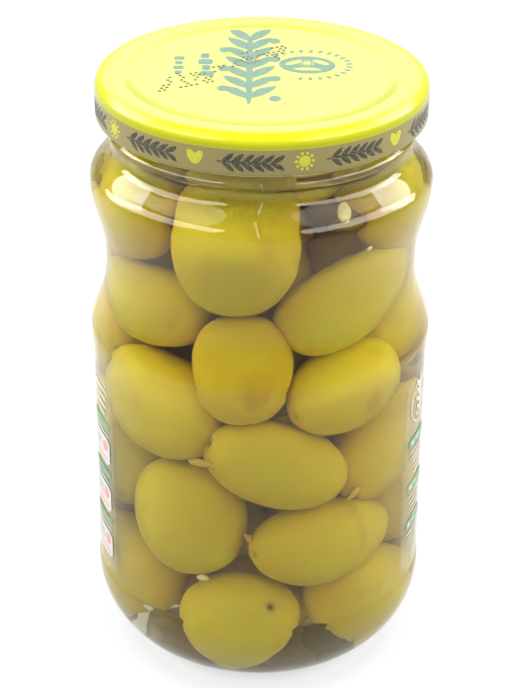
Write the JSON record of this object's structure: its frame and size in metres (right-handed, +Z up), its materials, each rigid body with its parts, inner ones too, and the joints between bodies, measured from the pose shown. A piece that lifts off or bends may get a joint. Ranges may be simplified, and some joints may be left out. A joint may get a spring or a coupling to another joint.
{
  "type": "jar of olives",
  "caption": "Waisted glass jar of large green olives in brine, shut by a printed twist-off metal cap, with a clear wrap-round label open at the front.",
  "frame": {"origin": "centre of the ring that the jar stands on", "axes": "+Z up along the jar's axis, -Y towards the gap between the label's two ends"},
  "size_m": [0.0728, 0.0728, 0.134],
  "materials": {
    "jar_glass": "clear and smooth",
    "cap_metal": "glossy lemon-yellow lacquer with a beige printed skirt",
    "olive_brine": "green olives in clear golden brine",
    "label_film": "clear film printed on its ends and back"
  },
  "bodies": {
    "root": {"jar": "jar_glass", "cap": "cap_metal", "brine": "olive_brine", "label": "label_film"}
  },
  "joints": []
}
